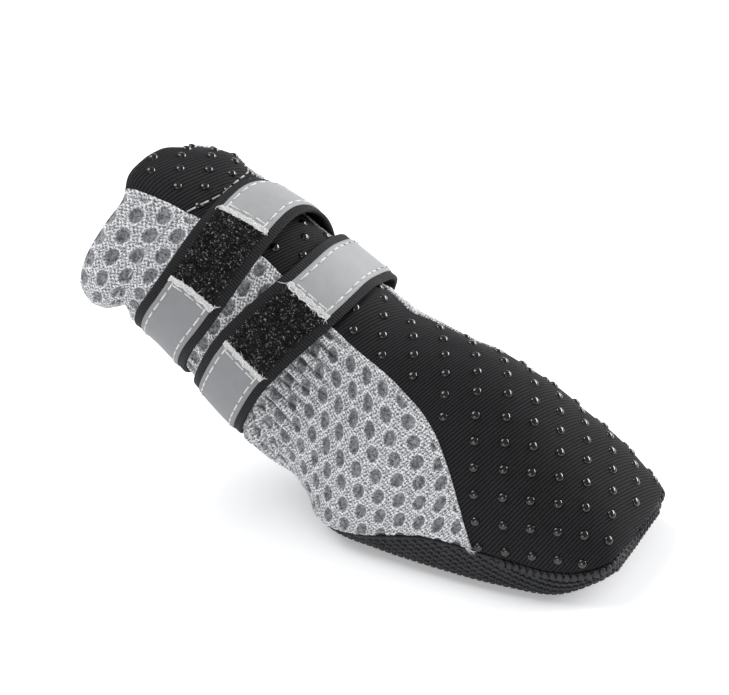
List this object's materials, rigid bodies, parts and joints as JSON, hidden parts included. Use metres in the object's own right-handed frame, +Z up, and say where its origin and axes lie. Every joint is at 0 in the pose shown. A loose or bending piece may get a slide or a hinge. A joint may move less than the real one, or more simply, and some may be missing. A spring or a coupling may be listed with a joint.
{
  "type": "dog boot",
  "caption": "Soft dog boot: black cupped rubber sole, dotted front panel, grey mesh sides, slanted open shaft and reflective hook-and-loop straps.",
  "frame": {"origin": "middle of the sole's flat underside, on the floor plane and the boot's centre plane", "axes": "+X towards the toe, +Y across the boot, +Z up from the floor"},
  "size_m": [0.1732, 0.0653, 0.0991],
  "materials": {
    "sole_rubber": "satin black moulded rubber",
    "insole_fabric": "dark matte cloth on thin foam",
    "upper_fabric": "black ribbed cloth in front, light grey air mesh at the sides and back",
    "strap_webbing": "black hook-and-loop webbing"
  },
  "bodies": {
    "root": {"sole": "sole_rubber", "insole": "insole_fabric", "upper": "upper_fabric", "strap_lower": "strap_webbing", "strap_upper": "strap_webbing"}
  },
  "joints": []
}
